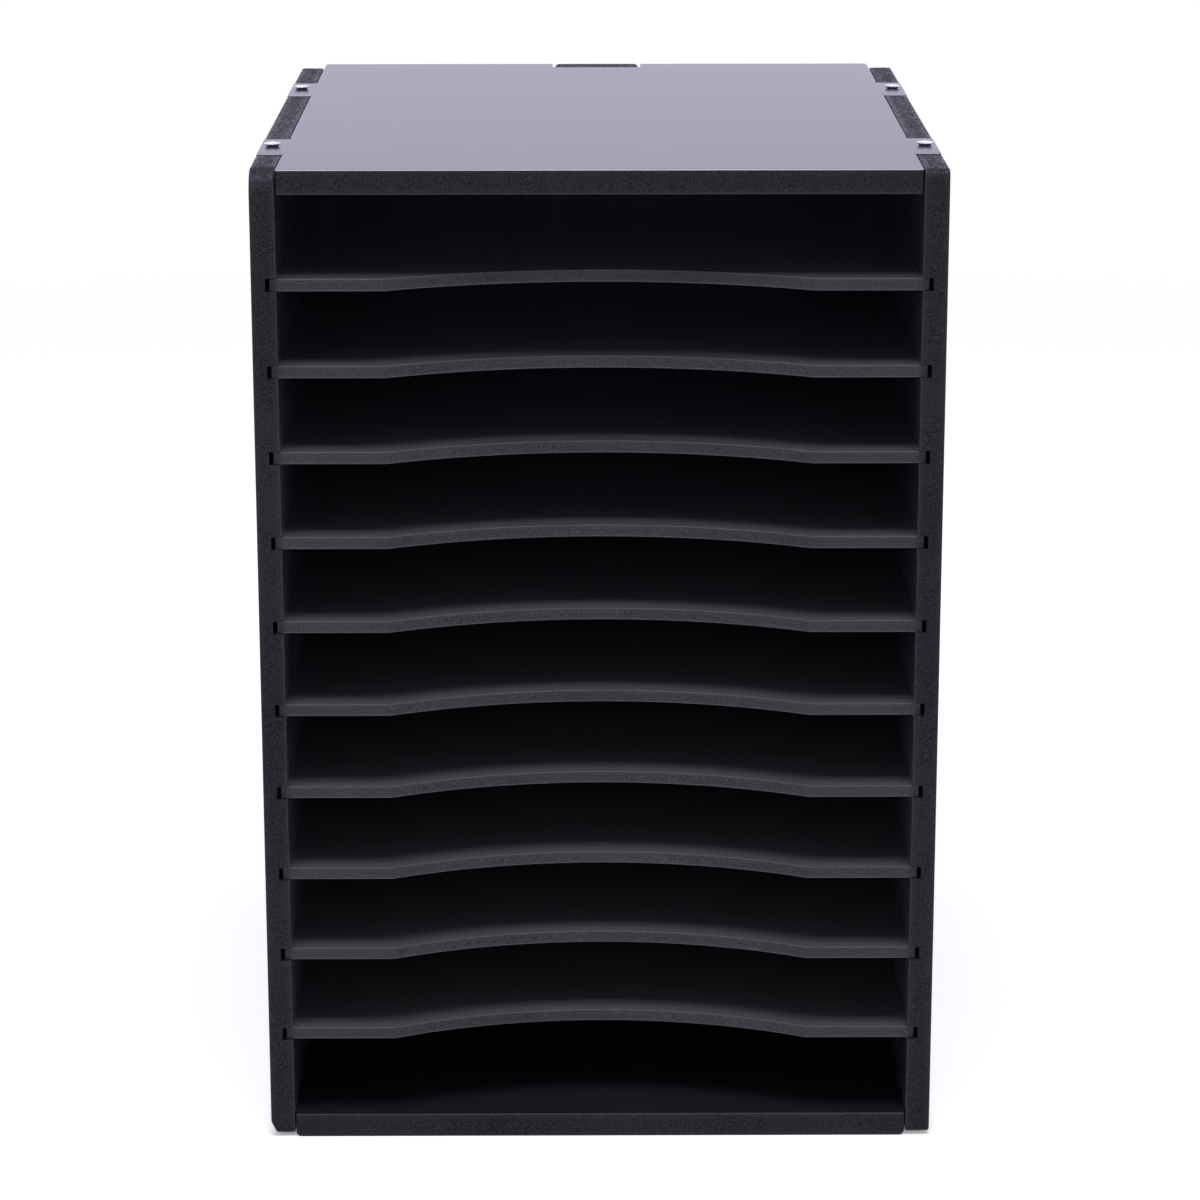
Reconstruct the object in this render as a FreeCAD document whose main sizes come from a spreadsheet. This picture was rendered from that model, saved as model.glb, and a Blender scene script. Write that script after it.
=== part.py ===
import FreeCAD, Part
import os
import Sketcher
from FreeCAD import Placement, Rotation, Vector

# Literature sorter for letter-size paper: a black board cabinet with ten thin
# shelves that slide in grooves in its two sides. X runs across the front, Y from
# the front to the rear and Z upwards. The origin is the middle of the base, on the
# surface that the sorter stands on.

# Driving dimensions, in millimetres
sizes = {
    # Cabinet, outside
    "cabinet_width": 260.0,
    "cabinet_height": 384.5,
    "cabinet_depth": 303.0,
    "board_thickness": 9.5,
    # Side panels
    "top_stands_above_sides": 0.3,
    "base_stands_below_sides": 1.0,
    "side_corner_radius": 3.0,
    "side_edge_radius": 0.9,
    "notch_mouth_radius": 1.2,
    "left_front_radius": 9.0,
    "worn_corner_width": 2.8,
    "worn_corner_height": 5.5,
    # Top and base panels, with the tabs that lie in notches in the side panels
    "panel_side_gap": 0.4,
    "panel_edge_radius": 0.5,
    "panel_front_radius": 1.2,
    "panel_rear_radius": 2.5,
    "base_corner_radius": 2.2,
    "tab_relief_depth": 0.6,
    "tab_relief_length": 3.0,
    "tab_length": 37.5,
    "tab_end_gap": 2.0,
    "front_tab_centre": 58.2,
    "rear_tab_centre": 220.5,
    # Back panel, with the tabs that lie in notches in the top and base panels
    "back_panel_gap": 0.3,
    "back_tab_width": 37.0,
    "back_tab_radius": 2.0,
    "back_tab_side_gap": 0.9,
    "back_tab_front_gap": 2.0,
    "back_tab_floor_gap": 0.5,
    # Shelves and the grooves that they slide in
    "shelf_thickness": 4.8,
    "shelf_edge_radius": 0.5,
    "shelf_setback": 2.0,
    "shelf_rear_gap": 0.5,
    "shelf_entry": 2.8,
    "groove_end_gap": 1.4,
    "groove_play": 0.4,
    "lowest_shelf_height": 40.5,
    "top_compartment_height": 31.8,
    "finger_arc_width": 161.0,
    "finger_arc_depth": 19.0,
    # Countersunk wood screws and their holes
    "screw_length": 30.0,
    "screw_shank": 3.5,
    "screw_head": 6.4,
    "screw_rim": 0.25,
    "screw_tip": 4.0,
    "screw_sink": 0.2,
    "screw_seat_gap": 0.05,
    "clearance_hole": 4.4,
    "pilot_play": 0.05,
    "pilot_overrun": 1.0,
    "recess_span": 3.6,
    "recess_slot": 0.9,
    "recess_depth": 1.4,
}
SHELF_COUNT = 10
COUNTERSINK_ANGLE = 90.0

# Edges closer than this to a plane lie in it
TOUCH = 0.01

doc = FreeCAD.newDocument("literature_sorter")
sheet = doc.addObject("Spreadsheet::Sheet", "dims")
for row, (alias, size) in enumerate(sizes.items(), start=1):
    sheet.set(f"A{row}", alias)
    sheet.set(f"B{row}", str(size))
    sheet.setAlias(f"B{row}", alias)
doc.recompute()

# Places that several pieces share, as expressions on the sheet
HALF_WIDTH = "dims.cabinet_width / 2"
HALF_DEPTH = "dims.cabinet_depth / 2"
SIDE_DEPTH = "(dims.cabinet_depth - dims.board_thickness)"
TOP_UNDERSIDE = "(dims.cabinet_height - dims.board_thickness)"
INNER_HALF_WIDTH = "(dims.cabinet_width / 2 - dims.board_thickness)"
SIDE_CENTRE = "(dims.cabinet_width / 2 - dims.board_thickness / 2)"
GROOVE_DEPTH = "(dims.shelf_entry + dims.groove_end_gap)"
BACK_NOTCH_HALF_WIDTH = "(dims.back_tab_width / 2 + dims.back_tab_side_gap)"
SHELF_PITCH = (f"(({TOP_UNDERSIDE} - dims.top_compartment_height - dims.shelf_thickness"
               f" - dims.lowest_shelf_height) / {SHELF_COUNT - 1})")
TAB_CENTRES = {"front": "dims.front_tab_centre", "rear": "dims.rear_tab_centre"}

# A head whose cone rests on the rim of a plain hole stands this far above the board
HEAD_STAND = ("(dims.screw_rim + (dims.screw_head - dims.clearance_hole) / 2"
              " + dims.screw_seat_gap)")
COUNTERSINK_WIDTH = ("(dims.screw_head + 2 * (dims.screw_sink + dims.screw_rim"
                     " + dims.screw_seat_gap))")
PILOT_WIDTH = "(dims.screw_shank + 2 * dims.pilot_play)"
SUNK_PILOT_DEPTH = ("(dims.screw_sink + dims.screw_length + dims.pilot_overrun"
                    " - dims.board_thickness)")
STANDING_PILOT_DEPTH = ("(dims.screw_length + dims.pilot_overrun"
                        f" - dims.board_thickness - {HEAD_STAND})")

# The back screws go in at the middle of the lowest, middle and highest compartment,
# where the side panels have their full thickness
BACK_SCREW_HEIGHTS = {
    "lower": "((dims.board_thickness + dims.lowest_shelf_height) / 2)",
    "middle": ("(dims.lowest_shelf_height + dims.shelf_thickness / 2"
               f" + {SHELF_COUNT // 2 - 0.5} * {SHELF_PITCH})"),
    "upper": f"({TOP_UNDERSIDE} - dims.top_compartment_height / 2)",
}
SIDES = {"left": -1, "right": 1}


def number(expression):
    """The value of an expression on the sheet, in millimetres."""
    return float(sheet.evalExpression(expression))


def start_body(name, x="0", y="0", z="0", turn=Rotation()):
    """An empty sub-part whose own origin lies at three expressions."""
    body = doc.addObject("PartDesign::Body", name)
    body.Label = name
    body.Placement = Placement(Vector(number(x), number(y), number(z)), turn)
    for axis, place in (("x", x), ("y", y), ("z", z)):
        body.setExpression(f"Placement.Base.{axis}", place)
    return body


def start_sketch(body, name, plane, offset="0"):
    """A sketch on one of the sub-part's own origin planes, moved along its normal."""
    sketch = body.newObject("Sketcher::SketchObject", name)
    support = next(item for item in body.Origin.OriginFeatures if item.Role == plane)
    sketch.AttachmentSupport = [(support, "")]
    sketch.MapMode = "FlatFace"
    sketch.setExpression("AttachmentOffset.Base.z", offset)
    return sketch


def constrain(sketch, constraint, expression):
    """Adds a dimension to a sketch and ties it to an expression."""
    index = sketch.addConstraint(constraint)
    name = f"size_{index}"
    sketch.renameConstraint(index, name)
    sketch.setExpression(f"Constraints.{name}", expression)


def tie_point(sketch, edge, point, across, along):
    """Holds a point of a sketch edge at two expressions from the sketch's origin."""
    for direction, expression in (("DistanceX", across), ("DistanceY", along)):
        distance = Sketcher.Constraint(direction, -1, 1, edge, point, number(expression))
        constrain(sketch, distance, expression)


def draw_outline(sketch, corners):
    """A closed outline of straight edges through corners given as expressions."""
    first = sketch.GeometryCount
    points = [Vector(number(across), number(along), 0) for across, along in corners]
    for start, end in zip(points, points[1:] + points[:1]):
        sketch.addGeometry(Part.LineSegment(start, end), False)
    for step, (across, along) in enumerate(corners):
        following = first + (step + 1) % len(corners)
        sketch.addConstraint(Sketcher.Constraint("Coincident", first + step, 2, following, 1))
        tie_point(sketch, first + step, 1, across, along)


def draw_rectangle(sketch, left, right, low, high):
    """A rectangle between four expressions."""
    draw_outline(sketch, [(left, low), (right, low), (right, high), (left, high)])


def pad(body, name, sketch, length, reverse=False):
    """Material added along the sketch's normal."""
    feature = body.newObject("PartDesign::Pad", name)
    feature.Profile = sketch
    feature.Reversed = reverse
    feature.setExpression("Length", length)
    doc.recompute()
    return feature


def confirm_cut(feature):
    """Stops the build where a cut has missed the material."""
    doc.recompute()
    removed = feature.BaseFeature.Shape.Volume - feature.Shape.Volume
    if removed <= 0:
        raise RuntimeError(f"{feature.Label} removes nothing")


def pocket_through(body, name, sketch):
    """A sketch cut through the whole sub-part, both ways."""
    feature = body.newObject("PartDesign::Pocket", name)
    feature.Profile = sketch
    feature.Type = "ThroughAll"
    feature.SideType = "Symmetric"
    confirm_cut(feature)
    return feature


def drill(body, name, plane, offset, centres, width, depth=None, sunk=False, reverse=False):
    """Round holes at the given centres, through or to a depth, plain or countersunk."""
    sketch = start_sketch(body, f"{name}_centres", plane, offset)
    for across, along in centres:
        middle = Vector(number(across), number(along), 0)
        circle = Part.Circle(middle, Vector(0, 0, 1), number(width) / 2)
        edge = sketch.addGeometry(circle, False)
        tie_point(sketch, edge, 3, across, along)
        constrain(sketch, Sketcher.Constraint("Diameter", edge, number(width)), width)
    doc.recompute()
    hole = body.newObject("PartDesign::Hole", name)
    hole.Profile = sketch
    doc.recompute()
    hole.Reversed = reverse
    hole.DepthType = "Dimension" if depth else "ThroughAll"
    hole.setExpression("Diameter", width)
    if depth:
        hole.setExpression("Depth", depth)
    if sunk:
        hole.HoleCutType = "Countersink"
        hole.HoleCutCustomValues = True
        hole.HoleCutCountersinkAngle = COUNTERSINK_ANGLE
        hole.setExpression("HoleCutDiameter", COUNTERSINK_WIDTH)
    confirm_cut(hole)
    return hole


def round_edges(body, name, base, radius, wanted=None):
    """Rounds the edges that pass a test, or every edge of the feature."""
    fillet = body.newObject("PartDesign::Fillet", name)
    edges = [f"Edge{place}" for place, edge in enumerate(base.Shape.Edges, start=1)
             if wanted is None or wanted(edge)]
    fillet.Base = (base, edges)
    fillet.setExpression("Radius", radius)
    doc.recompute()
    return fillet


def extent(edge, axis):
    """The lowest and highest coordinate of an edge along one axis."""
    box = edge.BoundBox
    return getattr(box, f"{axis}Min"), getattr(box, f"{axis}Max")


def side_panel(name, side, front_radius):
    """A side panel, with its origin at the front of its outer face.

    The upper front corner has its own radius. The notches for the tabs are cut
    before the borders of both faces are rounded, so the paint runs on round them.
    """
    inward = -side
    inner_face = f"({inward} * dims.board_thickness)"
    middle = f"({inward} * dims.board_thickness / 2)"
    foot = "dims.base_stands_below_sides"
    head = "(dims.cabinet_height - dims.top_stands_above_sides)"
    body = start_body(name, x=f"{side} * {HALF_WIDTH}", y=f"-{HALF_DEPTH}")

    outline = start_sketch(body, f"{name}_outline", "YZ_Plane")
    draw_rectangle(outline, "0", SIDE_DEPTH, foot, head)
    board = pad(body, f"{name}_board", outline, "dims.board_thickness", reverse=side > 0)

    def runs_across(edge):
        low, high = extent(edge, "X")
        return high - low > number("dims.board_thickness") / 2

    def is_upper_front(edge):
        in_front = extent(edge, "Y")[1] < TOUCH
        return runs_across(edge) and in_front and extent(edge, "Z")[0] > number(head) - TOUCH

    def is_other_corner(edge):
        return runs_across(edge) and not is_upper_front(edge)

    shaped = round_edges(body, f"{name}_corners", board, "dims.side_corner_radius",
                         is_other_corner)
    round_edges(body, f"{name}_upper_front", shaped, front_radius, is_upper_front)

    reach = "(dims.tab_length / 2 + dims.tab_end_gap)"
    notches = start_sketch(body, f"{name}_notch_outlines", "YZ_Plane")
    for centre in TAB_CENTRES.values():
        front, rear = f"{centre} - {reach}", f"{centre} + {reach}"
        draw_rectangle(notches, front, rear, "0", "dims.board_thickness")
        draw_rectangle(notches, front, rear, TOP_UNDERSIDE, "dims.cabinet_height")
    shaped = pocket_through(body, f"{name}_notches", notches)

    def is_notch_mouth(edge):
        near, far = extent(edge, "Y")
        low, high = extent(edge, "Z")
        outermost = abs(low - number(foot)) < TOUCH or abs(high - number(head)) < TOUCH
        at_side = any(abs(abs(near - number(centre)) - number(reach)) < TOUCH
                      for centre in TAB_CENTRES.values())
        return runs_across(edge) and far - near < TOUCH and outermost and at_side

    shaped = round_edges(body, f"{name}_mouths", shaped, "dims.notch_mouth_radius",
                         is_notch_mouth)

    def borders_a_face(edge):
        return not runs_across(edge)

    round_edges(body, f"{name}_edges", shaped, "dims.side_edge_radius", borders_a_face)

    groove_floor = "dims.lowest_shelf_height"
    groove_roof = "dims.lowest_shelf_height + dims.shelf_thickness + dims.groove_play"
    groove_wall = f"{inward} * (dims.board_thickness - {GROOVE_DEPTH})"
    groove_outline = start_sketch(body, f"{name}_groove_outline", "XZ_Plane")
    draw_rectangle(groove_outline, groove_wall, inner_face, groove_floor, groove_roof)
    groove = pocket_through(body, f"{name}_lowest_groove", groove_outline)

    grooves = body.newObject("PartDesign::LinearPattern", f"{name}_grooves")
    grooves.Originals = [groove]
    grooves.Direction = (groove_outline, ["V_Axis"])
    grooves.Mode = "Spacing"
    grooves.Occurrences = SHELF_COUNT
    grooves.setExpression("Offset", SHELF_PITCH)
    body.Tip = grooves
    confirm_cut(grooves)

    tab_centres = [(middle, centre) for centre in TAB_CENTRES.values()]
    back_centres = [(middle, height) for height in BACK_SCREW_HEIGHTS.values()]
    drill(body, f"{name}_top_pilots", "XY_Plane", TOP_UNDERSIDE, tab_centres,
          PILOT_WIDTH, depth=STANDING_PILOT_DEPTH)
    drill(body, f"{name}_base_pilots", "XY_Plane", "dims.board_thickness", tab_centres,
          PILOT_WIDTH, depth=SUNK_PILOT_DEPTH, reverse=True)
    drill(body, f"{name}_back_pilots", "XZ_Plane", f"-{SIDE_DEPTH}", back_centres,
          PILOT_WIDTH, depth=SUNK_PILOT_DEPTH, reverse=True)
    return body


def wear_corner(body, inward):
    """Takes off the outer lower edge of a side panel with one sloping cut."""
    foot = "dims.base_stands_below_sides"
    across = f"{inward} * dims.worn_corner_width"
    up = "dims.base_stands_below_sides + dims.worn_corner_height"
    outline = start_sketch(body, f"{body.Label}_worn_outline", "XZ_Plane")
    draw_outline(outline, [("0", foot), (across, foot), ("0", up)])
    pocket_through(body, f"{body.Label}_worn_corner", outline)


def tab_panel(name, z, turn=Rotation(), at_base=False):
    """A top or base panel, with its origin at the front of its inner face.

    Two tabs on each side lie over the side panels and take a screw each. The notch
    in the rear edge takes the back panel's tab. The outer face is the upper one.
    """
    board_half = f"({INNER_HALF_WIDTH} - dims.panel_side_gap)"
    body = start_body(name, y=f"-{HALF_DEPTH}", z=z, turn=turn)

    outline = start_sketch(body, f"{name}_outline", "XY_Plane")
    draw_rectangle(outline, f"-{board_half}", board_half, "0", "dims.cabinet_depth")
    pad(body, f"{name}_board", outline, "dims.board_thickness")

    tabs = start_sketch(body, f"{name}_tab_outlines", "XY_Plane")
    for centre in TAB_CENTRES.values():
        draw_rectangle(tabs, f"-{HALF_WIDTH}", HALF_WIDTH,
                       f"{centre} - dims.tab_length / 2", f"{centre} + dims.tab_length / 2")
    pad(body, f"{name}_tabs", tabs, "dims.board_thickness")

    notch = start_sketch(body, f"{name}_notch_outline", "XY_Plane")
    draw_rectangle(notch, f"-{BACK_NOTCH_HALF_WIDTH}", BACK_NOTCH_HALF_WIDTH,
                   f"{SIDE_DEPTH} - dims.back_tab_front_gap", "dims.cabinet_depth")
    shaped = pocket_through(body, f"{name}_notch", notch)

    def is_upright(edge):
        near, far = extent(edge, "Y")
        left, right = extent(edge, "X")
        return far - near < TOUCH and right - left < TOUCH

    def is_front_upright(edge):
        return is_upright(edge) and extent(edge, "Y")[0] < TOUCH

    def is_rear_upright(edge):
        at_rear = extent(edge, "Y")[1] > number("dims.cabinet_depth") - TOUCH
        beside = abs(abs(extent(edge, "X")[0]) - number(board_half)) < TOUCH
        return is_upright(edge) and at_rear and beside

    def is_front_corner(edge):
        """One of the two outer edges that run back from the front to the tabs."""
        near, far = extent(edge, "Y")
        outermost = extent(edge, "Z")[0] > number("dims.board_thickness") - TOUCH
        return outermost and near < TOUCH and far - near > TOUCH

    def is_not_tab_root(edge):
        """Any edge but the upright ones in the hollow corners beside the tabs."""
        beside = abs(abs(extent(edge, "X")[0]) - number(board_half)) < TOUCH
        at_tab = any(abs(abs(extent(edge, "Y")[0] - number(centre))
                         - number("dims.tab_length") / 2) < TOUCH
                     for centre in TAB_CENTRES.values())
        return not (beside and is_upright(edge) and at_tab)

    shaped = round_edges(body, f"{name}_rear_corners", shaped, "dims.panel_rear_radius",
                         is_rear_upright)
    if at_base:
        shaped = round_edges(body, f"{name}_front_corners", shaped,
                             "dims.base_corner_radius", is_front_corner)
    else:
        shaped = round_edges(body, f"{name}_front_corners", shaped,
                             "dims.panel_front_radius", is_front_upright)
    round_edges(body, f"{name}_edges", shaped, "dims.panel_edge_radius", is_not_tab_root)

    reliefs = start_sketch(body, f"{name}_relief_outlines", "XY_Plane")
    for side in SIDES.values():
        root, edge = f"{side} * ({board_half} - dims.tab_relief_depth)", f"{side} * {HALF_WIDTH}"
        for centre in TAB_CENTRES.values():
            for end in (-1, 1):
                shoulder = f"{centre} + {end} * dims.tab_length / 2"
                draw_rectangle(reliefs, root, edge, shoulder,
                               f"{shoulder} + {end} * dims.tab_relief_length")
    pocket_through(body, f"{name}_reliefs", reliefs)

    centres = [(f"{side} * {SIDE_CENTRE}", centre)
               for side in SIDES.values() for centre in TAB_CENTRES.values()]
    drill(body, f"{name}_screw_holes", "XY_Plane", "dims.board_thickness", centres,
          "dims.clearance_hole", sunk=at_base)
    return body


def back_panel(name):
    """The back panel, with its origin in the middle of the base of its rear face.

    It laps the rear edges of the side panels and reaches up and down with one tab
    into the rear notches of the top and base panels.
    """
    body = start_body(name, y=HALF_DEPTH)

    outline = start_sketch(body, f"{name}_outline", "XZ_Plane")
    draw_rectangle(outline, f"-{HALF_WIDTH}", HALF_WIDTH,
                   "dims.board_thickness + dims.back_panel_gap",
                   f"{TOP_UNDERSIDE} - dims.back_panel_gap")
    pad(body, f"{name}_board", outline, "dims.board_thickness")

    tabs = start_sketch(body, f"{name}_tab_outline", "XZ_Plane")
    draw_rectangle(tabs, "-dims.back_tab_width / 2", "dims.back_tab_width / 2",
                   "dims.back_tab_floor_gap", "dims.cabinet_height")
    shaped = pad(body, f"{name}_tabs", tabs, "dims.board_thickness")

    def is_tab_corner(edge):
        left, right = extent(edge, "X")
        low, high = extent(edge, "Z")
        beyond_boards = low < number("dims.board_thickness") or high > number(TOP_UNDERSIDE)
        return right - left < TOUCH and high - low < TOUCH and beyond_boards

    shaped = round_edges(body, f"{name}_tab_corners", shaped, "dims.back_tab_radius",
                         is_tab_corner)
    round_edges(body, f"{name}_edges", shaped, "dims.panel_edge_radius")

    centres = [(f"{side} * {SIDE_CENTRE}", height)
               for side in SIDES.values() for height in BACK_SCREW_HEIGHTS.values()]
    drill(body, f"{name}_screw_holes", "XZ_Plane", "0", centres, "dims.clearance_hole",
          sunk=True, reverse=True)
    return body


def shelf(name, z):
    """A thin shelf, with its origin in the middle of its front edge's underside.

    A wide shallow arc in the front edge lets a hand reach the paper below.
    """
    half_width = f"({INNER_HALF_WIDTH} + dims.shelf_entry)"
    length = f"({SIDE_DEPTH} - dims.shelf_setback - dims.shelf_rear_gap)"
    half_arc = "dims.finger_arc_width / 2"
    arc_radius = ("((dims.finger_arc_width / 2) ^ 2 + dims.finger_arc_depth ^ 2)"
                  " / (2 * dims.finger_arc_depth)")
    body = start_body(name, y=f"dims.shelf_setback - {HALF_DEPTH}", z=z)

    outline = start_sketch(body, f"{name}_outline", "XY_Plane")
    corners = [(half_arc, "0"), (half_width, "0"), (half_width, length),
               (f"-{half_width}", length), (f"-{half_width}", "0"), (f"-{half_arc}", "0")]
    points = [Vector(number(across), number(along), 0) for across, along in corners]
    for edge, (start, end) in enumerate(zip(points, points[1:])):
        outline.addGeometry(Part.LineSegment(start, end), False)
        tie_point(outline, edge, 1, *corners[edge])
    last = len(corners) - 2
    tie_point(outline, last, 2, *corners[-1])
    for edge in range(last):
        outline.addConstraint(Sketcher.Constraint("Coincident", edge, 2, edge + 1, 1))
    deepest = Vector(0, number("dims.finger_arc_depth"), 0)
    arc = outline.addGeometry(Part.Arc(points[0], deepest, points[-1]), False)
    outline.addConstraint(Sketcher.Constraint("Coincident", arc, 1, 0, 1))
    outline.addConstraint(Sketcher.Constraint("Coincident", arc, 2, last, 2))
    constrain(outline, Sketcher.Constraint("Radius", arc, number(arc_radius)), arc_radius)

    board = pad(body, f"{name}_board", outline, "dims.shelf_thickness")
    round_edges(body, f"{name}_edges", board, "dims.shelf_edge_radius")
    return body


def screw(name, x, y, z, turn=Rotation()):
    """A countersunk wood screw that points down, with its origin on top of its head."""
    body = start_body(name, x=x, y=y, z=z, turn=turn)
    head, shank = "dims.screw_head / 2", "dims.screw_shank / 2"
    neck = "-dims.screw_rim - (dims.screw_head - dims.screw_shank) / 2"

    profile = start_sketch(body, f"{name}_profile", "XZ_Plane")
    draw_outline(profile, [("0", "0"), (head, "0"), (head, "-dims.screw_rim"), (shank, neck),
                           (shank, "dims.screw_tip - dims.screw_length"),
                           ("0", "-dims.screw_length")])
    turned = body.newObject("PartDesign::Revolution", f"{name}_turned")
    turned.Profile = profile
    turned.ReferenceAxis = (profile, ["V_Axis"])
    turned.Angle = 360

    recess = start_sketch(body, f"{name}_recess_outline", "XY_Plane")
    span, slot = "dims.recess_span / 2", "dims.recess_slot / 2"
    draw_outline(recess, [
        (span, f"-{slot}"), (span, slot), (slot, slot), (slot, span),
        (f"-{slot}", span), (f"-{slot}", slot), (f"-{span}", slot), (f"-{span}", f"-{slot}"),
        (f"-{slot}", f"-{slot}"), (f"-{slot}", f"-{span}"), (slot, f"-{span}"),
        (slot, f"-{slot}"),
    ])
    cross = body.newObject("PartDesign::Pocket", f"{name}_recess")
    cross.Profile = recess
    cross.setExpression("Length", "dims.recess_depth")
    confirm_cut(cross)
    return body


# Cabinet boards
FRONT_RADII = {"left": "dims.left_front_radius", "right": "dims.side_corner_radius"}
parts = [side_panel(f"{word}_side_panel", side, FRONT_RADII[word])
         for word, side in SIDES.items()]
wear_corner(parts[0], inward=1)
parts.append(tab_panel("top_panel", z=TOP_UNDERSIDE))
TURNED_OVER = Rotation(Vector(0, 1, 0), 180)
parts.append(tab_panel("bottom_panel", z="dims.board_thickness", turn=TURNED_OVER,
                       at_base=True))
parts.append(back_panel("back_panel"))

# Shelves, counted from the top down
for place in range(SHELF_COUNT):
    steps = SHELF_COUNT - 1 - place
    height = f"dims.lowest_shelf_height + {steps} * {SHELF_PITCH}"
    parts.append(shelf(f"shelf_{place + 1:02d}", z=height))

# Screws: their heads stand proud on the top panel and lie flush in the base and back
POINTING_UP = Rotation(Vector(1, 0, 0), 180)
POINTING_FORWARD = Rotation(Vector(1, 0, 0), -90)
for word, side in SIDES.items():
    across = f"{side} * {SIDE_CENTRE}"
    for end, centre in TAB_CENTRES.items():
        along = f"{centre} - {HALF_DEPTH}"
        parts.append(screw(f"top_screw_{end}_{word}", across, along,
                           f"dims.cabinet_height + {HEAD_STAND}"))
        parts.append(screw(f"base_screw_{end}_{word}", across, along,
                           "dims.screw_sink", POINTING_UP))
    for level, height in BACK_SCREW_HEIGHTS.items():
        parts.append(screw(f"back_screw_{level}_{word}", across,
                           f"{HALF_DEPTH} - dims.screw_sink", height, POINTING_FORWARD))

doc.recompute()
failed = [item.Label for item in doc.Objects
          if "Invalid" in item.State or "Error" in item.State]
failed += [item.Label for item in parts
           if item.Shape.isNull() or not item.Shape.isValid() or len(item.Shape.Solids) != 1]
if failed:
    raise RuntimeError(f"these did not build: {failed}")

os.makedirs("parts", exist_ok=True)
for part in parts:
    part.Shape.exportStep(f"parts/{part.Label}.step")
    box = part.Shape.BoundBox
    print(f"{part.Label:28s} {part.Shape.Volume:12.1f} mm3"
          f"  x {box.XMin:7.2f} {box.XMax:7.2f}  y {box.YMin:7.2f} {box.YMax:7.2f}"
          f"  z {box.ZMin:7.2f} {box.ZMax:7.2f}")
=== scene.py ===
import math

import bpy
import numpy as np
from mathutils import Matrix, Vector


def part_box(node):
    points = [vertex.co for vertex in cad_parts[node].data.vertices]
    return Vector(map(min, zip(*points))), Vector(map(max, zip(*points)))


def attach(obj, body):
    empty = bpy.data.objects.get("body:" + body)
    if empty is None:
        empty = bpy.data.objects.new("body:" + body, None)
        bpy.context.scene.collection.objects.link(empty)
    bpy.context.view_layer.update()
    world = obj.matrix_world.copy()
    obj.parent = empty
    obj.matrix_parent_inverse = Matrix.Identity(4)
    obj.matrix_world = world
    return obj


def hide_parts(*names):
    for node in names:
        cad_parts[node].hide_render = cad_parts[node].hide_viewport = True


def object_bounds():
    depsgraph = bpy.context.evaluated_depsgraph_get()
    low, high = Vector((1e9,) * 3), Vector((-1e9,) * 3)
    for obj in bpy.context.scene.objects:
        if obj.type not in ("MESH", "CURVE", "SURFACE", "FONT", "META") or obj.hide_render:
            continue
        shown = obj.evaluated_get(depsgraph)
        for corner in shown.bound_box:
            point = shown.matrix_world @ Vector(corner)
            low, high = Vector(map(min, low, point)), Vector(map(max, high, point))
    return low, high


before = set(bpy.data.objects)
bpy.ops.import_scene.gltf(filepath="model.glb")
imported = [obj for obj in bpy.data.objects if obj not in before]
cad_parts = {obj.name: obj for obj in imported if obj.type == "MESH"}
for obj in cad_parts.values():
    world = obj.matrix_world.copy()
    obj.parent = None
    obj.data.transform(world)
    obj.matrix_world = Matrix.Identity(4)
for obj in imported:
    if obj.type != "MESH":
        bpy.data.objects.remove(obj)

cad_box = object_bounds()

# Side panels
# Two upright boards of 9.5 mm fibreboard with a smooth satin black laminate on both
# faces. Their edges are routed round, the grooves for the shelves are cut through from
# front to rear, and every cut edge is sprayed black, which leaves an orange-peel skin.
MM = 0.001
# How far the finish of a flat face, the worn rim with its painted highlight and the denser core
# reach into an edge
FOIL_END = 0.06 * MM
RIM_AND_HIGHLIGHT_END = 0.44 * MM
CORE_START = 0.9 * MM
CORE_FULL = 2.8 * MM
SOFTENING = 0.06 * MM
# The shine that foil and paint turn to at a low angle, and how rough it is
SHINE_COLOUR = (0.83, 0.76, 1.0)
SHINE_INDEX = 1.5
FOIL_SHINE = 1.0
PAINT_SHINE = 0.22
DRY_SHINE = 0.45
RIM_SHINE = 1.3
CORE_DULLING = 0.5
WET_CONTRAST = 3.2
FOIL_ROUGHNESS = 0.20
SMUDGE_ROUGHNESS = 0.05
PAINT_ROUGHNESS = 0.38
BODY_ROUGHNESS = 0.6
# The paint's tone, from its darkest at 0 to its palest at 1, and what moves it
PAINT_TONE = 0.55
CLOUD_DEPTH = 0.34
PIT_DEPTH = 1.7
PATCH_DEPTH = 5.5
SCUFF_DEPTH = 0.5
PATCH_RANGE = (0.42, 0.68)
SCUFF_RANGE = (0.70, 0.76)
SMUDGE_RANGE = (0.3, 0.7)
# Bumps to the metre of each kind of unevenness
RAGGED_SCALE = 700
PIT_SCALE = 1900
PATCH_SCALE = 70
SMUDGE_SCALE = 14
PEEL_SCALE = 1500
MOTTLE_SCALE = 320
EMBOSS_SCALE = 5200
SCUFF_SCALES = (60, 60, 900)
WET_SCALES = (1300, 240, 1300)
# Heights of the paint's skin and of the foil's fine emboss
PEEL_HEIGHT = 0.14 * MM
MOTTLE_HEIGHT = 0.28 * MM
EMBOSS_HEIGHT = 0.0012 * MM
CABINET_FINISH = {
    "foil": (0.021, 0.026, 0.033),
    "paint": ((0.0055, 0.0055, 0.0065), (0.033, 0.0325, 0.0375)),
    # The rims are a pale worn line where the paint ends, made paler still as a painted highlight
    # of the rounded border, with one colour for each half of the board
    "worn_rims_and_highlights": ((0.052, 0.050, 0.057), (0.052, 0.050, 0.057)),
}


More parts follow.
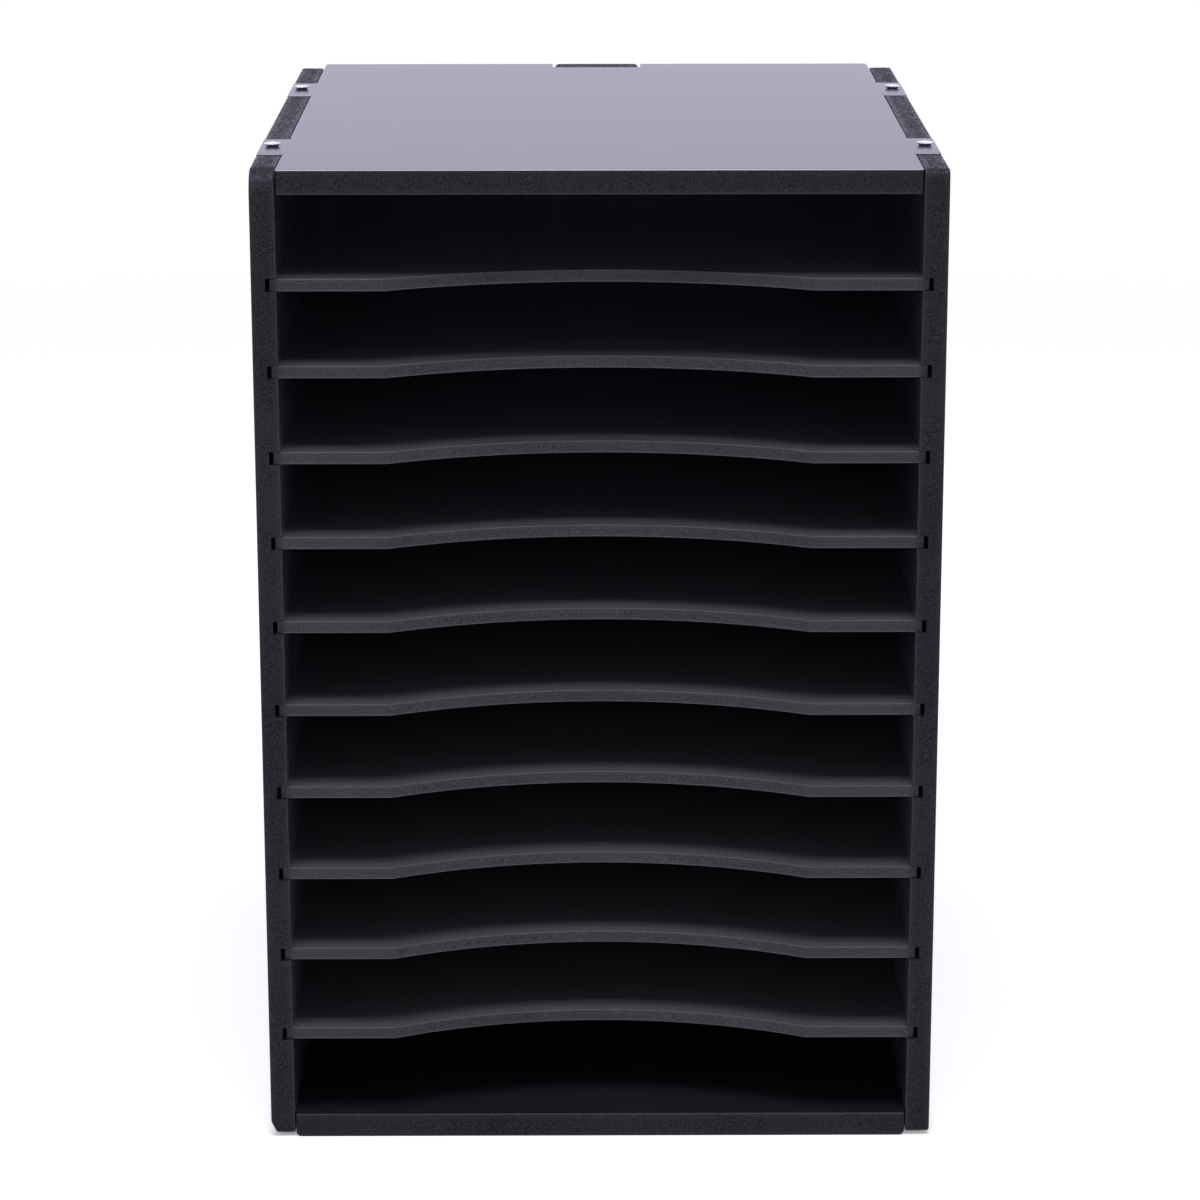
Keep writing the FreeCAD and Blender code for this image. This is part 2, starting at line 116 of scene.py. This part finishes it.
class Field:
    """A shader socket that works in sums like a number, so that formulas read as such."""

    def __init__(self, tree, socket=None):
        self.tree = tree
        self.socket = socket

    def node(self, kind, settings=None, sockets=None, output=0):
        """Any node: its settings first, then its sockets' values or links, by name or number."""
        made = self.tree.nodes.new(kind)
        for name, value in (settings or {}).items():
            setattr(made, name, value)
        for name, value in (sockets or {}).items():
            if isinstance(value, Field):
                self.tree.links.new(value.socket, made.inputs[name])
            else:
                made.inputs[name].default_value = value
        return Field(self.tree, made.outputs[output] if made.outputs else None)

    def calculate(self, operation, *others):
        """This value and any others, put through one operation of a Math node."""
        sockets = dict(enumerate((self, *others)))
        return self.node("ShaderNodeMath", {"operation": operation}, sockets)

    def __add__(self, other):
        return self.calculate("ADD", other)

    __radd__ = __add__

    def __sub__(self, other):
        return self.calculate("SUBTRACT", other)

    def __rsub__(self, other):
        return (self * -1) + other

    def __mul__(self, other):
        return self.calculate("MULTIPLY", other)

    __rmul__ = __mul__

    def __truediv__(self, other):
        return self.calculate("DIVIDE", other)

    def clipped(self):
        """The value held between 0 and 1."""
        return self.node("ShaderNodeClamp", sockets={"Value": self})

    def spread(self, low, high):
        """0 where the value is at low, 1 where it is at high, and straight between."""
        return ((self - low) / (high - low)).clipped()

    def noise(self, scale, detail=2.0):
        """Noise from 0 to 1 at this position, with so many bumps to the metre."""
        sockets = {"Vector": self, "Scale": scale, "Detail": detail}
        return self.node("ShaderNodeTexNoise", sockets=sockets)

    def stretched(self, scales):
        """This position, scaled along each axis."""
        return self.node("ShaderNodeMapping", sockets={"Vector": self, "Scale": scales})

    def colour(self, low, high):
        """A colour that goes from low to high as the value goes from 0 to 1."""
        sockets = {0: self}
        for place, end in ((6, low), (7, high)):
            sockets[place] = end if isinstance(end, Field) else (*end, 1)
        return self.node("ShaderNodeMix", {"data_type": "RGBA"}, sockets, output=2)


def new_material(name):
    """An empty material and a first field to add its nodes with."""
    material = bpy.data.materials.new(name)
    material.use_nodes = True
    material.node_tree.nodes.clear()
    return material, Field(material.node_tree)


def paint_colour(place, core, smudge, finish):
    """Sprayed paint: dark pits and pale specks over broad clouds, with faint scuffs.

    The grain is strongest in patches of the core. A scuff is a thin level streak, which
    lets the colour of the worn rim, with its painted highlight, half through.
    """
    patch = place.noise(PATCH_SCALE, detail=3.0).spread(*PATCH_RANGE)
    pits = place.noise(PIT_SCALE, detail=1.5) - 0.5
    grain = pits * (PIT_DEPTH + core * patch * PATCH_DEPTH)
    cloud = (smudge - 0.5) * CLOUD_DEPTH
    tone = (PAINT_TONE + cloud + grain).clipped()
    scuff = place.stretched(SCUFF_SCALES).noise(1.0).spread(*SCUFF_RANGE)
    return (scuff * SCUFF_DEPTH).colour(tone.colour(*finish["paint"]), finish["worn_rims_and_highlights"][0])


def board_normal(place, foil):
    """The surface's slopes: a fine emboss on foil, a peel on a coarser mottle on paint."""
    peel = place.noise(PEEL_SCALE, detail=1.5) * PEEL_HEIGHT
    skin = peel + place.noise(MOTTLE_SCALE) * MOTTLE_HEIGHT
    emboss = place.noise(EMBOSS_SCALE, detail=1.0) * EMBOSS_HEIGHT
    height = skin + foil * (emboss - skin)
    return place.node("ShaderNodeBump", sockets={"Distance": 1.0, "Height": height})


def shine_share(place, foil, core, normal):
    """How much of the surface shines: more at a low angle, on foil far more than paint.

    The paint's share is less in the core, and comes and goes in fine streaks that run
    from front to rear, where the spray lay wet.
    """
    streak = place.stretched(WET_SCALES).noise(1.0, detail=1.0)
    wet = (0.5 + (streak - 0.5) * WET_CONTRAST).clipped()
    paint = PAINT_SHINE * (RIM_SHINE - CORE_DULLING * core) * (DRY_SHINE + wet)
    slope = place.node("ShaderNodeFresnel", sockets={"IOR": SHINE_INDEX, "Normal": normal})
    return slope * (paint + foil * (FOIL_SHINE - paint))


def board_material(name, axis, low, high, finish):
    """A board faced with black foil, with painted edges; its thickness lies along axis.

    Depth is the distance from the nearer flat face. Down to a hair it is foil, then a
    fine worn rim shows where the paint ends, painted paler as a highlight of the rounded
    border, with one colour for each half of the board, and the rest is paint. Both are
    dark bodies that a faintly violet shine is laid over.
    """
    material, start = new_material(name)
    place = start.node("ShaderNodeTexCoord", output="Object")
    along = start.node("ShaderNodeSeparateXYZ", sockets={"Vector": place}, output=axis)
    depth = (along - low).calculate("MINIMUM", high - along)
    ragged = depth + (place.noise(RAGGED_SCALE) - 0.5) * FOIL_END
    foil = 1 - ragged.spread(FOIL_END, FOIL_END + SOFTENING)
    paint = ragged.spread(RIM_AND_HIGHLIGHT_END, RIM_AND_HIGHLIGHT_END + SOFTENING)
    core = depth.spread(CORE_START, CORE_FULL)

    smudge = place.noise(SMUDGE_SCALE, detail=3.0).spread(*SMUDGE_RANGE)
    # Painted highlight: the rim's colour differs between the two halves of the board, so that a
    # lying board's upper or lower border reads as lit
    upper_half = (along - (low + high) / 2).calculate("GREATER_THAN", 0)
    rim_and_highlight = upper_half.colour(*finish["worn_rims_and_highlights"])
    edge = paint.colour(rim_and_highlight, paint_colour(place, core, smudge, finish))
    normal = board_normal(place, foil)
    body = start.node("ShaderNodeBsdfPrincipled", sockets={
        "Base Color": foil.colour(edge, finish["foil"]), "Roughness": BODY_ROUGHNESS,
        "Specular IOR Level": 0.0, "Normal": normal,
    })
    smoothing = PAINT_ROUGHNESS - FOIL_ROUGHNESS - smudge * SMUDGE_ROUGHNESS
    shine = start.node("ShaderNodeBsdfPrincipled", sockets={
        "Base Color": (*SHINE_COLOUR, 1), "Metallic": 1.0, "Normal": normal,
        "Roughness": PAINT_ROUGHNESS - foil * smoothing,
    })
    share = shine_share(place, foil, core, normal)
    board = start.node("ShaderNodeMixShader", sockets={0: share, 1: body, 2: shine})
    start.node("ShaderNodeOutputMaterial", sockets={"Surface": board})
    return material


def dress_board(node, axis, finish):
    """Gives a board's node its own material, measured from the board's two faces."""
    low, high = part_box(node)
    side = "XYZ".index(axis)
    material = board_material(f"{node}_board", axis, low[side], high[side], finish)
    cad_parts[node].material_slots[0].material = material


dress_board("left_side_panel", "X", CABINET_FINISH)
dress_board("right_side_panel", "X", CABINET_FINISH)

# Top, base and back panels
# Boards of the same laminate, a deeper black on the base. The top and base lie between
# the side panels with two screwed tabs over each, and the back laps the rear edges of
# the sides. The top's upper border is painted pale over its worn rim, as a highlight of
# the overhead light on its rounded edge.
# Painted highlight: the second colour, for the top's upper border, is a pale line of light
TOP_WORN_RIM_AND_HIGHLIGHT = ((0.066, 0.064, 0.073), (0.56, 0.54, 0.61))
BASE_FOIL = (0.0100, 0.0112, 0.0138)
dress_board("top_panel", "Z", {**CABINET_FINISH, "worn_rims_and_highlights": TOP_WORN_RIM_AND_HIGHLIGHT})
dress_board("bottom_panel", "Z", {**CABINET_FINISH, "foil": BASE_FOIL})
dress_board("back_panel", "Y", CABINET_FINISH)

# Shelves
# Ten boards of 4.8 mm fibreboard in a greyer black, sawn with a wide finger arc in the
# front edge. Their thin edges take the paint thinly and stay smoother and paler.
SHELF_FINISH = {
    "foil": (0.072, 0.075, 0.084),
    "paint": ((0.025, 0.0245, 0.028), (0.070, 0.069, 0.078)),
    # Painted highlight: the rim of each shelf's lower border is paler than that of the upper, as
    # light from the floor in front
    "worn_rims_and_highlights": ((0.122, 0.119, 0.128), (0.078, 0.077, 0.084)),
}
for node in sorted(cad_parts):
    if node.startswith("shelf_"):
        dress_board(node, "Z", SHELF_FINISH)

# Screws
# Bright zinc-plated wood screws, 30 mm long, with flat countersunk heads and a cross
# recess. The top ones stand proud on the tabs, the others are sunk into the boards.
SCREW_HEAD = 3.2 * MM
SCREW_RIM = 0.25 * MM
SCREW_NECK = 1.35 * MM
SCREW_CREST = 1.72 * MM
SCREW_CORE = 1.15 * MM
SCREW_POINT = 0.05 * MM
SCREW_LENGTH = 30 * MM
SCREW_PITCH = 1.6 * MM
RIDGE_HALF_WIDTH = 0.28
THREAD_START = 9 * MM
THREAD_RUN_IN = 2 * MM
NECK_RUN_OUT = 1 * MM
TIP_LENGTH = 4 * MM
RECESS_SPAN = 3.6 * MM
RECESS_SLOT = 1.0 * MM
RECESS_DEPTH = 1.4 * MM
WING_SLOPE = 0.5 * MM
SLOT_SLOPE = 0.15 * MM
CREASE = math.radians(35)
DULL_ZINC = (0.80, 0.80, 0.83)
BRIGHT_ZINC = (0.86, 0.86, 0.88)
MARK_SCALE = 6000
MARK_HEIGHT = 0.0015 * MM
SHEEN_SCALE = 900
SHEEN_RANGE = (0.35, 0.65)
BRIGHT_ROUGHNESS = 0.16
SHEEN_ROUGHNESS = 0.10
# How far the rings of points keep from the head's centre, as a share of its radius, and
# from the two ends of the screw's side
HEAD_CENTRE = 0.02
RING_GAP = 0.02 * MM
# Points in each ring, and rings across the head and down the rim, cone, neck and thread
SCREW_SIDES = 96
HEAD_RINGS = 34
RIM_RINGS = 3
CONE_RINGS = 8
NECK_RINGS = 4
THREAD_RINGS = 98


def screw_surface():
    """Points of a screw that hangs from the origin, as rings by angles by three.

    Across the head the rings grow from a point and the surface drops by the recess
    depth inside a cross, whose wings taper towards their ends. Down the side each ring
    has the profile's radius, and the thread adds a ridge that turns once in each pitch.
    """
    angles = np.linspace(0, 2 * np.pi, SCREW_SIDES, endpoint=False)
    across = np.linspace(HEAD_CENTRE, 1, HEAD_RINGS)[:, None] * SCREW_HEAD
    x, y = across * np.cos(angles), across * np.sin(angles)
    longer = np.maximum(np.abs(x), np.abs(y))
    shorter = np.minimum(np.abs(x), np.abs(y))
    wing = np.clip((RECESS_SPAN / 2 - longer) / WING_SLOPE, 0, 1)
    slot = np.clip((RECESS_SLOT / 2 - shorter) / SLOT_SLOPE, 0, 1)
    head = np.stack([x, y, -RECESS_DEPTH * wing * slot], axis=-1)

    cone_end = SCREW_RIM + SCREW_HEAD - SCREW_NECK
    thread_end = SCREW_LENGTH - TIP_LENGTH
    down = np.concatenate([
        np.linspace(RING_GAP, SCREW_RIM, RIM_RINGS),
        np.linspace(SCREW_RIM, cone_end, CONE_RINGS)[1:],
        np.linspace(cone_end, THREAD_START, NECK_RINGS)[1:],
        np.linspace(THREAD_START, SCREW_LENGTH - RING_GAP, THREAD_RINGS)[1:],
    ])[:, None]
    profile = {0: SCREW_HEAD, SCREW_RIM: SCREW_HEAD, cone_end: SCREW_NECK,
               THREAD_START: SCREW_NECK, THREAD_START + NECK_RUN_OUT: SCREW_CORE,
               thread_end: SCREW_CORE, SCREW_LENGTH: SCREW_POINT}
    radius = np.interp(down, list(profile), list(profile.values()))
    turn = (down / SCREW_PITCH - angles / (2 * np.pi)) % 1
    ridge = np.clip(1 - np.abs(turn - 0.5) / RIDGE_HALF_WIDTH, 0, 1)
    full = SCREW_CREST - SCREW_CORE
    rise = np.interp(down, [THREAD_START, THREAD_START + THREAD_RUN_IN, thread_end,
                            SCREW_LENGTH], [0, full, full, 0])
    radius = radius + rise * ridge
    side = np.stack([radius * np.cos(angles), radius * np.sin(angles),
                     np.broadcast_to(-down, radius.shape)], axis=-1)
    return np.concatenate([head, side])


def closed_mesh(name, rings):
    """A mesh of quads between rings of points, closed by a fan of triangles at each end."""
    count, around = rings.shape[:2]
    numbers = np.arange(count * around).reshape(count, around)
    inner, outer = numbers[:-1], numbers[1:]
    quads = np.stack([inner, outer, np.roll(outer, -1, 1), np.roll(inner, -1, 1)], axis=-1)
    first, last = count * around, count * around + 1
    start, end = numbers[0], numbers[-1]
    fans = [np.stack([np.full(around, first), start, np.roll(start, -1)], axis=-1),
            np.stack([np.full(around, last), np.roll(end, -1), end], axis=-1)]
    points = np.concatenate([rings.reshape(-1, 3), [rings[0].mean(0), rings[-1].mean(0)]])
    faces = quads.reshape(-1, 4).tolist() + np.concatenate(fans).tolist()
    mesh = bpy.data.meshes.new(name)
    mesh.from_pydata(points.tolist(), [], faces)
    mesh.shade_smooth()
    mesh.set_sharp_from_angle(angle=CREASE)
    return mesh


def zinc_material():
    """Plated steel: bright metal with faint turning marks and a patchy sheen."""
    material, start = new_material("bright_zinc")
    place = start.node("ShaderNodeTexCoord", output="Object")
    patch = place.noise(SHEEN_SCALE).spread(*SHEEN_RANGE)
    height = place.noise(MARK_SCALE) * MARK_HEIGHT
    shader = start.node("ShaderNodeBsdfPrincipled", sockets={
        "Base Color": patch.colour(DULL_ZINC, BRIGHT_ZINC), "Metallic": 1.0,
        "Roughness": BRIGHT_ROUGHNESS + patch * SHEEN_ROUGHNESS,
        "Normal": start.node("ShaderNodeBump", sockets={"Distance": 1.0, "Height": height}),
    })
    start.node("ShaderNodeOutputMaterial", sockets={"Surface": shader})
    return material


def head_and_turn(node):
    """Where a screw's head lies, and the turn that it has from one that points down."""
    low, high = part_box(node)
    middle = (low + high) / 2
    if node.startswith("top"):
        return (middle.x, middle.y, high.z), Matrix.Identity(3)
    if node.startswith("base"):
        return (middle.x, middle.y, low.z), Matrix.Rotation(math.pi, 3, "X")
    return (middle.x, high.y, middle.z), Matrix.Rotation(-math.pi / 2, 3, "X")


zinc = zinc_material()
screw_points = screw_surface()
for node in sorted(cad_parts):
    if "_screw_" not in node:
        continue
    head, turn = head_and_turn(node)
    mesh = closed_mesh(f"{node}_zinc", screw_points @ np.array(turn).T + np.array(head))
    mesh.materials.append(zinc)
    piece = bpy.data.objects.new(f"{node}_zinc", mesh)
    bpy.context.scene.collection.objects.link(piece)
    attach(piece, "cabinet")
    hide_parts(node)

# Floor and light
# A round white floor that fades out into a white studio. A broad soft lamp hangs above
# and before the sorter, where it lights the top and a narrow strip along the front of
# each shelf, and a faint one further forward reaches into the compartments.
FLOOR_RADIUS = 1.9
FLOOR_SIDES = 96
FLOOR_FADE = (1.0, 1.8)
FLOOR_WHITE = 0.80
FLOOR_ROUGHNESS = 0.9
FLOOR_GLOW = 0.50
GLOW_BORDER = (-0.012, 0.004)
STUDIO_TINT = (0.955, 0.93, 1.0)
WORLD_LIGHT = 0.35


def seen_rays(start):
    """Two fields: 1 for camera rays, and 1 for camera, glossy and transmission rays."""
    camera_ray = start.node("ShaderNodeLightPath", output="Is Camera Ray")
    glossy_ray = start.node("ShaderNodeLightPath", output="Is Glossy Ray")
    clear_ray = start.node("ShaderNodeLightPath", output="Is Transmission Ray")
    return camera_ray, (camera_ray + glossy_ray + clear_ray).clipped()


def floor_material():
    """White that fades out far from the sorter, and glows a little where it is seen.

    The glow fades out from just beyond the sorter's footprint to inside it, so the floor
    is darker along the base as painted shade.
    """
    material, start = new_material("floor_white")
    seen = seen_rays(start)[1]
    place = start.node("ShaderNodeTexCoord", output="Object")
    reach = start.node("ShaderNodeVectorMath", {"operation": "LENGTH"}, {0: place}, output="Value")
    across = start.node("ShaderNodeSeparateXYZ", sockets={"Vector": place}, output="X")
    along = start.node("ShaderNodeSeparateXYZ", sockets={"Vector": place}, output="Y")
    # Painted shade: no glow on the footprint and a few millimetres around it, so the floor darkens
    # along the base
    beside = across.calculate("ABSOLUTE") - cad_box[1].x
    before = along.calculate("ABSOLUTE") - cad_box[1].y
    outside = beside.calculate("MAXIMUM", before).spread(*GLOW_BORDER)
    shader = start.node("ShaderNodeBsdfPrincipled", sockets={
        "Base Color": (FLOOR_WHITE, FLOOR_WHITE, FLOOR_WHITE, 1),
        "Roughness": FLOOR_ROUGHNESS, "Specular IOR Level": 0.0,
        "Alpha": 1 - reach.spread(*FLOOR_FADE),
        "Emission Color": (seen * outside).colour((0, 0, 0), (1, 1, 1)),
        "Emission Strength": FLOOR_GLOW,
    })
    start.node("ShaderNodeOutputMaterial", sockets={"Surface": shader})
    return material


turns = np.linspace(0, 2 * np.pi, FLOOR_SIDES, endpoint=False)
ring = np.stack([np.cos(turns), np.sin(turns), np.zeros(FLOOR_SIDES)], axis=-1) * FLOOR_RADIUS
mesh = bpy.data.meshes.new("floor")
mesh.from_pydata(ring.tolist(), [], [list(range(FLOOR_SIDES))])
mesh.materials.append(floor_material())
floor = bpy.data.objects.new("floor", mesh)
bpy.context.scene.collection.objects.link(floor)

world = bpy.data.worlds.new("studio")
bpy.context.scene.world = world
world.use_nodes = True
world.node_tree.nodes.clear()
start = Field(world.node_tree)
camera_ray, seen = seen_rays(start)
sky = start.node("ShaderNodeBackground", sockets={
    "Color": camera_ray.colour(STUDIO_TINT, (1, 1, 1)),
    "Strength": WORLD_LIGHT + seen * (1 - WORLD_LIGHT),
})
start.node("ShaderNodeOutputWorld", sockets={"Surface": sky})


def soft_lamp(name, place, aim, size, power):
    """A broad lamp, so wide and so deep, that shines from one point towards another."""
    light = bpy.data.lights.new(name, "AREA")
    light.shape = "RECTANGLE"
    light.size, light.size_y = size
    light.energy = power
    light.color = STUDIO_TINT
    lamp = bpy.data.objects.new(name, light)
    lamp.location = place
    towards = Vector(aim) - Vector(place)
    lamp.rotation_euler = towards.to_track_quat("-Z", "Y").to_euler()
    bpy.context.scene.collection.objects.link(lamp)


soft_lamp("lamp_overhead", (0, -0.75, 2.6), (0, -0.1, 0.2), (1.8, 0.9), 53)
soft_lamp("lamp_front", (0, -2.3, 0.85), (0, 0, 0.2), (0.8, 0.5), 4.2)

# Camera
# It stands where the photograph was taken from: straight in front of the sorter and a
# little above, looking down by some 15 degrees through a long lens.
CAMERA_PLACE = (-6.13 * MM, -1581.82 * MM, 607.34 * MM)
CAMERA_PITCH = math.radians(15.1705)
CAMERA_YAW = math.radians(0.248)
CAMERA_ROLL = math.radians(-0.0514)
CAMERA_LENS = 116.78
CAMERA_SENSOR = 36
camera = bpy.data.objects.new("camera", bpy.data.cameras.new("camera"))
camera.data.lens = CAMERA_LENS
camera.data.sensor_width = CAMERA_SENSOR
camera.matrix_world = (Matrix.Translation(CAMERA_PLACE)
                       @ Matrix.Rotation(-CAMERA_YAW, 4, "Z")
                       @ Matrix.Rotation(math.pi / 2 - CAMERA_PITCH, 4, "X")
                       @ Matrix.Rotation(CAMERA_ROLL, 4, "Z"))
bpy.context.scene.collection.objects.link(camera)
bpy.context.scene.camera = camera
bpy.context.scene.view_settings.view_transform = "Standard"
